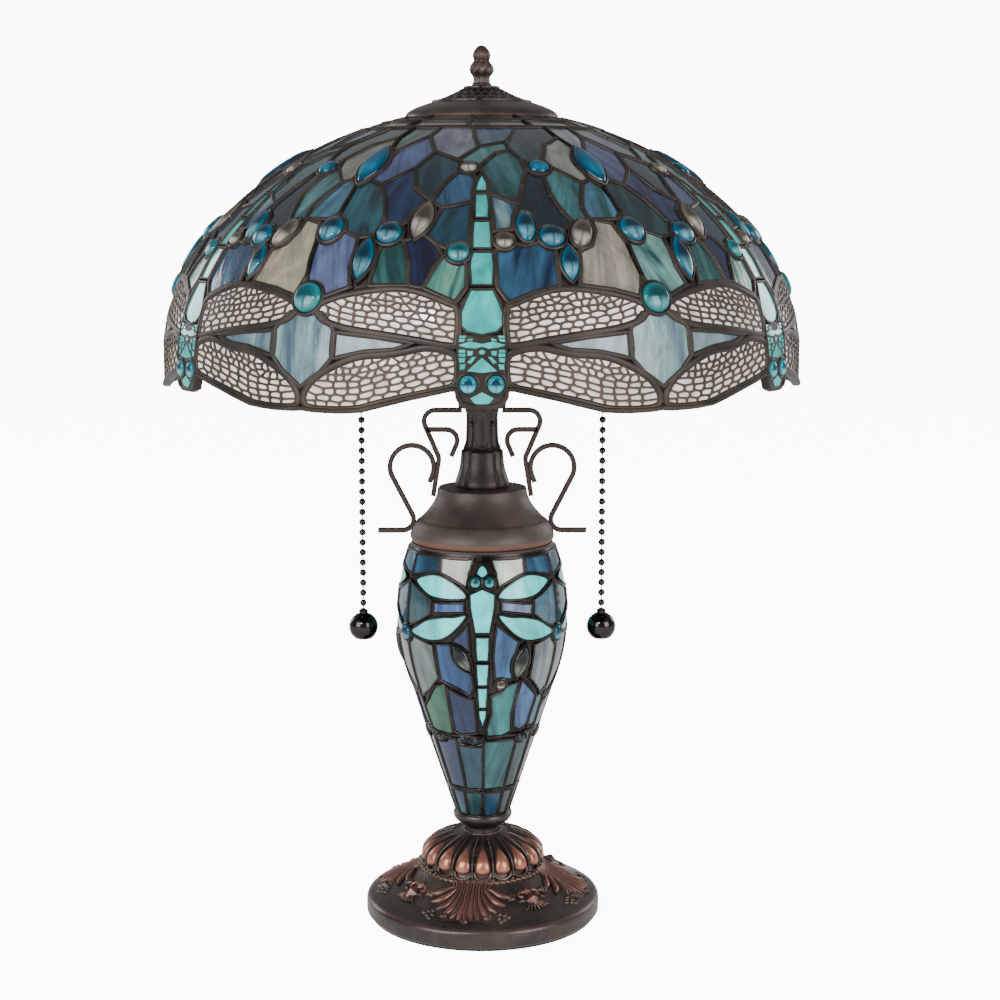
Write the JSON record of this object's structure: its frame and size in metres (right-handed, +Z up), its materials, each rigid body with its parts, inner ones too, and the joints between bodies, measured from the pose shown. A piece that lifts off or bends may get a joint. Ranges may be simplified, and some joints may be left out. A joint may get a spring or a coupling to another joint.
{
  "type": "stained glass table lamp",
  "caption": "Table lamp with a domed leaded glass shade of dragonflies and jewels over a lit leaded glass vase body on a cast bronze foot, with bead pull chains.",
  "frame": {"origin": "centre of the felt under the foot, on the plane the lamp stands on", "axes": "+Z up through the finial, -Y the front with one dragonfly facing it, +X to the right of someone facing the front"},
  "size_m": [0.4556, 0.458, 0.64],
  "materials": {
    "bronze": "dark antique bronze with copper highlights, satin",
    "patinated_solder": "dark patina on lead and solder, satin",
    "stained_glass": "streaky opalescent sheet, glossy, translucent",
    "jewel_glass": "pressed cabochons, blue, teal and clear, glossy",
    "frosted_glass": "white frosted",
    "brass": "aged, satin",
    "insulator": "matt",
    "black_plastic": "matt",
    "felt": "dark green felt",
    "black_nickel": "black nickel plate, glossy"
  },
  "bodies": {
    "stand": {"cluster_body": "bronze", "column_casting": "bronze", "column_flange": "bronze", "cord_bushing": "black_plastic", "felt_pad": "felt", "foot_casting": "bronze", "foot_nut": "brass", "foot_washer": "brass", "night_light_bracket": "brass", "night_light_socket": "brass", "riser_rod": "brass", "scroll_left": "bronze", "scroll_right": "bronze", "shade_seat_nut": "brass", "socket_liners": "insulator", "socket_shell_left": "brass", "socket_shell_right": "brass", "switch_mouths": "brass", "vase_bottom_ring": "patinated_solder", "vase_cap": "bronze", "vase_holder": "bronze", "vase_jewels": "jewel_glass", "vase_lead_frame": "patinated_solder", "vase_panel_1": "stained_glass", "vase_panel_2": "stained_glass", "vase_panel_3": "stained_glass", "vase_top_ring": "patinated_solder"},
    "shade": {"shade_crown_ring": "patinated_solder", "shade_dragonfly_panel_1": "stained_glass", "shade_dragonfly_panel_2": "stained_glass", "shade_dragonfly_panel_3": "stained_glass", "shade_dragonfly_panel_4": "stained_glass", "shade_dragonfly_panel_5": "stained_glass", "shade_dragonfly_panel_6": "stained_glass", "shade_field_panel_1": "stained_glass", "shade_field_panel_2": "stained_glass", "shade_field_panel_3": "stained_glass", "shade_field_panel_4": "stained_glass", "shade_field_panel_5": "stained_glass", "shade_field_panel_6": "stained_glass", "shade_lead_frame": "patinated_solder", "shade_long_jewels": "jewel_glass", "shade_round_jewels": "jewel_glass", "shade_spider": "bronze", "dragonfly_eyes": "jewel_glass", "vent_cap": "bronze"},
    "finial": {"finial": "bronze"},
    "night_bulb": {"night_light_bulb": "frosted_glass"},
    "bulb_right": {"bulb_base_right": "brass", "bulb_glass_right": "frosted_glass"},
    "bulb_left": {"bulb_base_left": "brass", "bulb_glass_left": "frosted_glass"},
    "pull_right": {"chain_upper_right": "black_nickel"},
    "pull_left": {"chain_upper_left": "black_nickel"},
    "chain_right": {"chain_lower_right": "black_nickel", "fob_right": "black_nickel"},
    "chain_left": {"chain_lower_left": "black_nickel", "fob_left": "black_nickel"}
  },
  "joints": [
    {"name": "shade_turn", "type": "hinge", "parent": "stand", "child": "shade", "pos_m": [0, 0, 0.586], "axis": [0, 0, 1], "continuous": true},
    {"name": "finial_turn", "type": "hinge", "parent": "stand", "child": "finial", "pos_m": [0, 0, 0.6112], "axis": [0, 0, 1], "continuous": true},
    {"name": "night_bulb_turn", "type": "hinge", "parent": "stand", "child": "night_bulb", "pos_m": [0.0185, 0, 0.155], "axis": [0, 0, 1], "continuous": true},
    {"name": "bulb_right_turn", "type": "hinge", "parent": "stand", "child": "bulb_right", "pos_m": [0.031, 0, 0.438], "axis": [0.9397, 0, 0.342], "continuous": true},
    {"name": "pull_right_slide", "type": "slide", "parent": "stand", "child": "pull_right", "axis": [0, 0, -1], "range_m": [0, 0.009], "stiffness_N_per_m": 600, "springref_m": -0.003},
    {"name": "chain_right_swing", "type": "hinge", "parent": "pull_right", "child": "chain_right", "pos_m": [0.088, 0, 0.41085], "axis": [1, 0, 0], "range_deg": [-30, 30]},
    {"name": "bulb_left_turn", "type": "hinge", "parent": "stand", "child": "bulb_left", "pos_m": [-0.031, 0, 0.438], "axis": [-0.9397, 0, 0.342], "continuous": true},
    {"name": "pull_left_slide", "type": "slide", "parent": "stand", "child": "pull_left", "axis": [0, 0, -1], "range_m": [0, 0.009], "stiffness_N_per_m": 600, "springref_m": -0.003},
    {"name": "chain_left_swing", "type": "hinge", "parent": "pull_left", "child": "chain_left", "pos_m": [-0.088, 0, 0.41085], "axis": [1, 0, 0], "range_deg": [-30, 30]}
  ]
}
